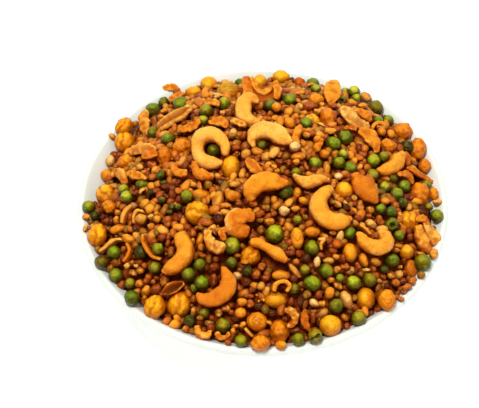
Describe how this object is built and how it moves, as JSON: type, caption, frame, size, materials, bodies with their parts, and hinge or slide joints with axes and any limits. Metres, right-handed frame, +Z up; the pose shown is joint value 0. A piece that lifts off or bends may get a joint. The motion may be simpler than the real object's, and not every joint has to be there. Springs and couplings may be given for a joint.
{
  "type": "bowl of savoury mix",
  "caption": "Shallow white glazed bowl heaped with a fried, spiced mix of cashews, chickpeas, green peas, peanuts, lentils and small beans, domed above the rim.",
  "frame": {"origin": "middle of the foot ring, on the surface the bowl stands on", "axes": "+Z up, -Y towards the picture's camera, +X to the right in the picture"},
  "size_m": [0.175, 0.175, 0.0731],
  "materials": {
    "bowl": "glossy white glaze",
    "mix": "dry fried pulses dusted with spice, faintly oily",
    "cashew": "fried nut, matt with a faint oil sheen",
    "chip": "crisp fried flake, matt"
  },
  "bodies": {
    "root": {"bowl": "bowl", "mix_heap": "mix", "cashew_01": "cashew", "cashew_02": "cashew", "cashew_03": "cashew", "cashew_04": "cashew", "cashew_05": "cashew", "cashew_06": "cashew", "cashew_07": "cashew", "cashew_08": "cashew", "cashew_09": "cashew", "cashew_10": "cashew", "cashew_11": "cashew", "cashew_12": "cashew", "curl_01": "chip", "curl_02": "chip", "curl_03": "chip", "curl_04": "chip", "curl_05": "chip", "curl_06": "chip", "curl_07": "chip", "flake_01": "chip", "flake_02": "chip", "flake_03": "chip", "flake_04": "chip", "flake_05": "chip", "flake_06": "chip", "flake_07": "chip", "flake_08": "chip", "flake_09": "chip", "flake_10": "chip"}
  },
  "joints": []
}
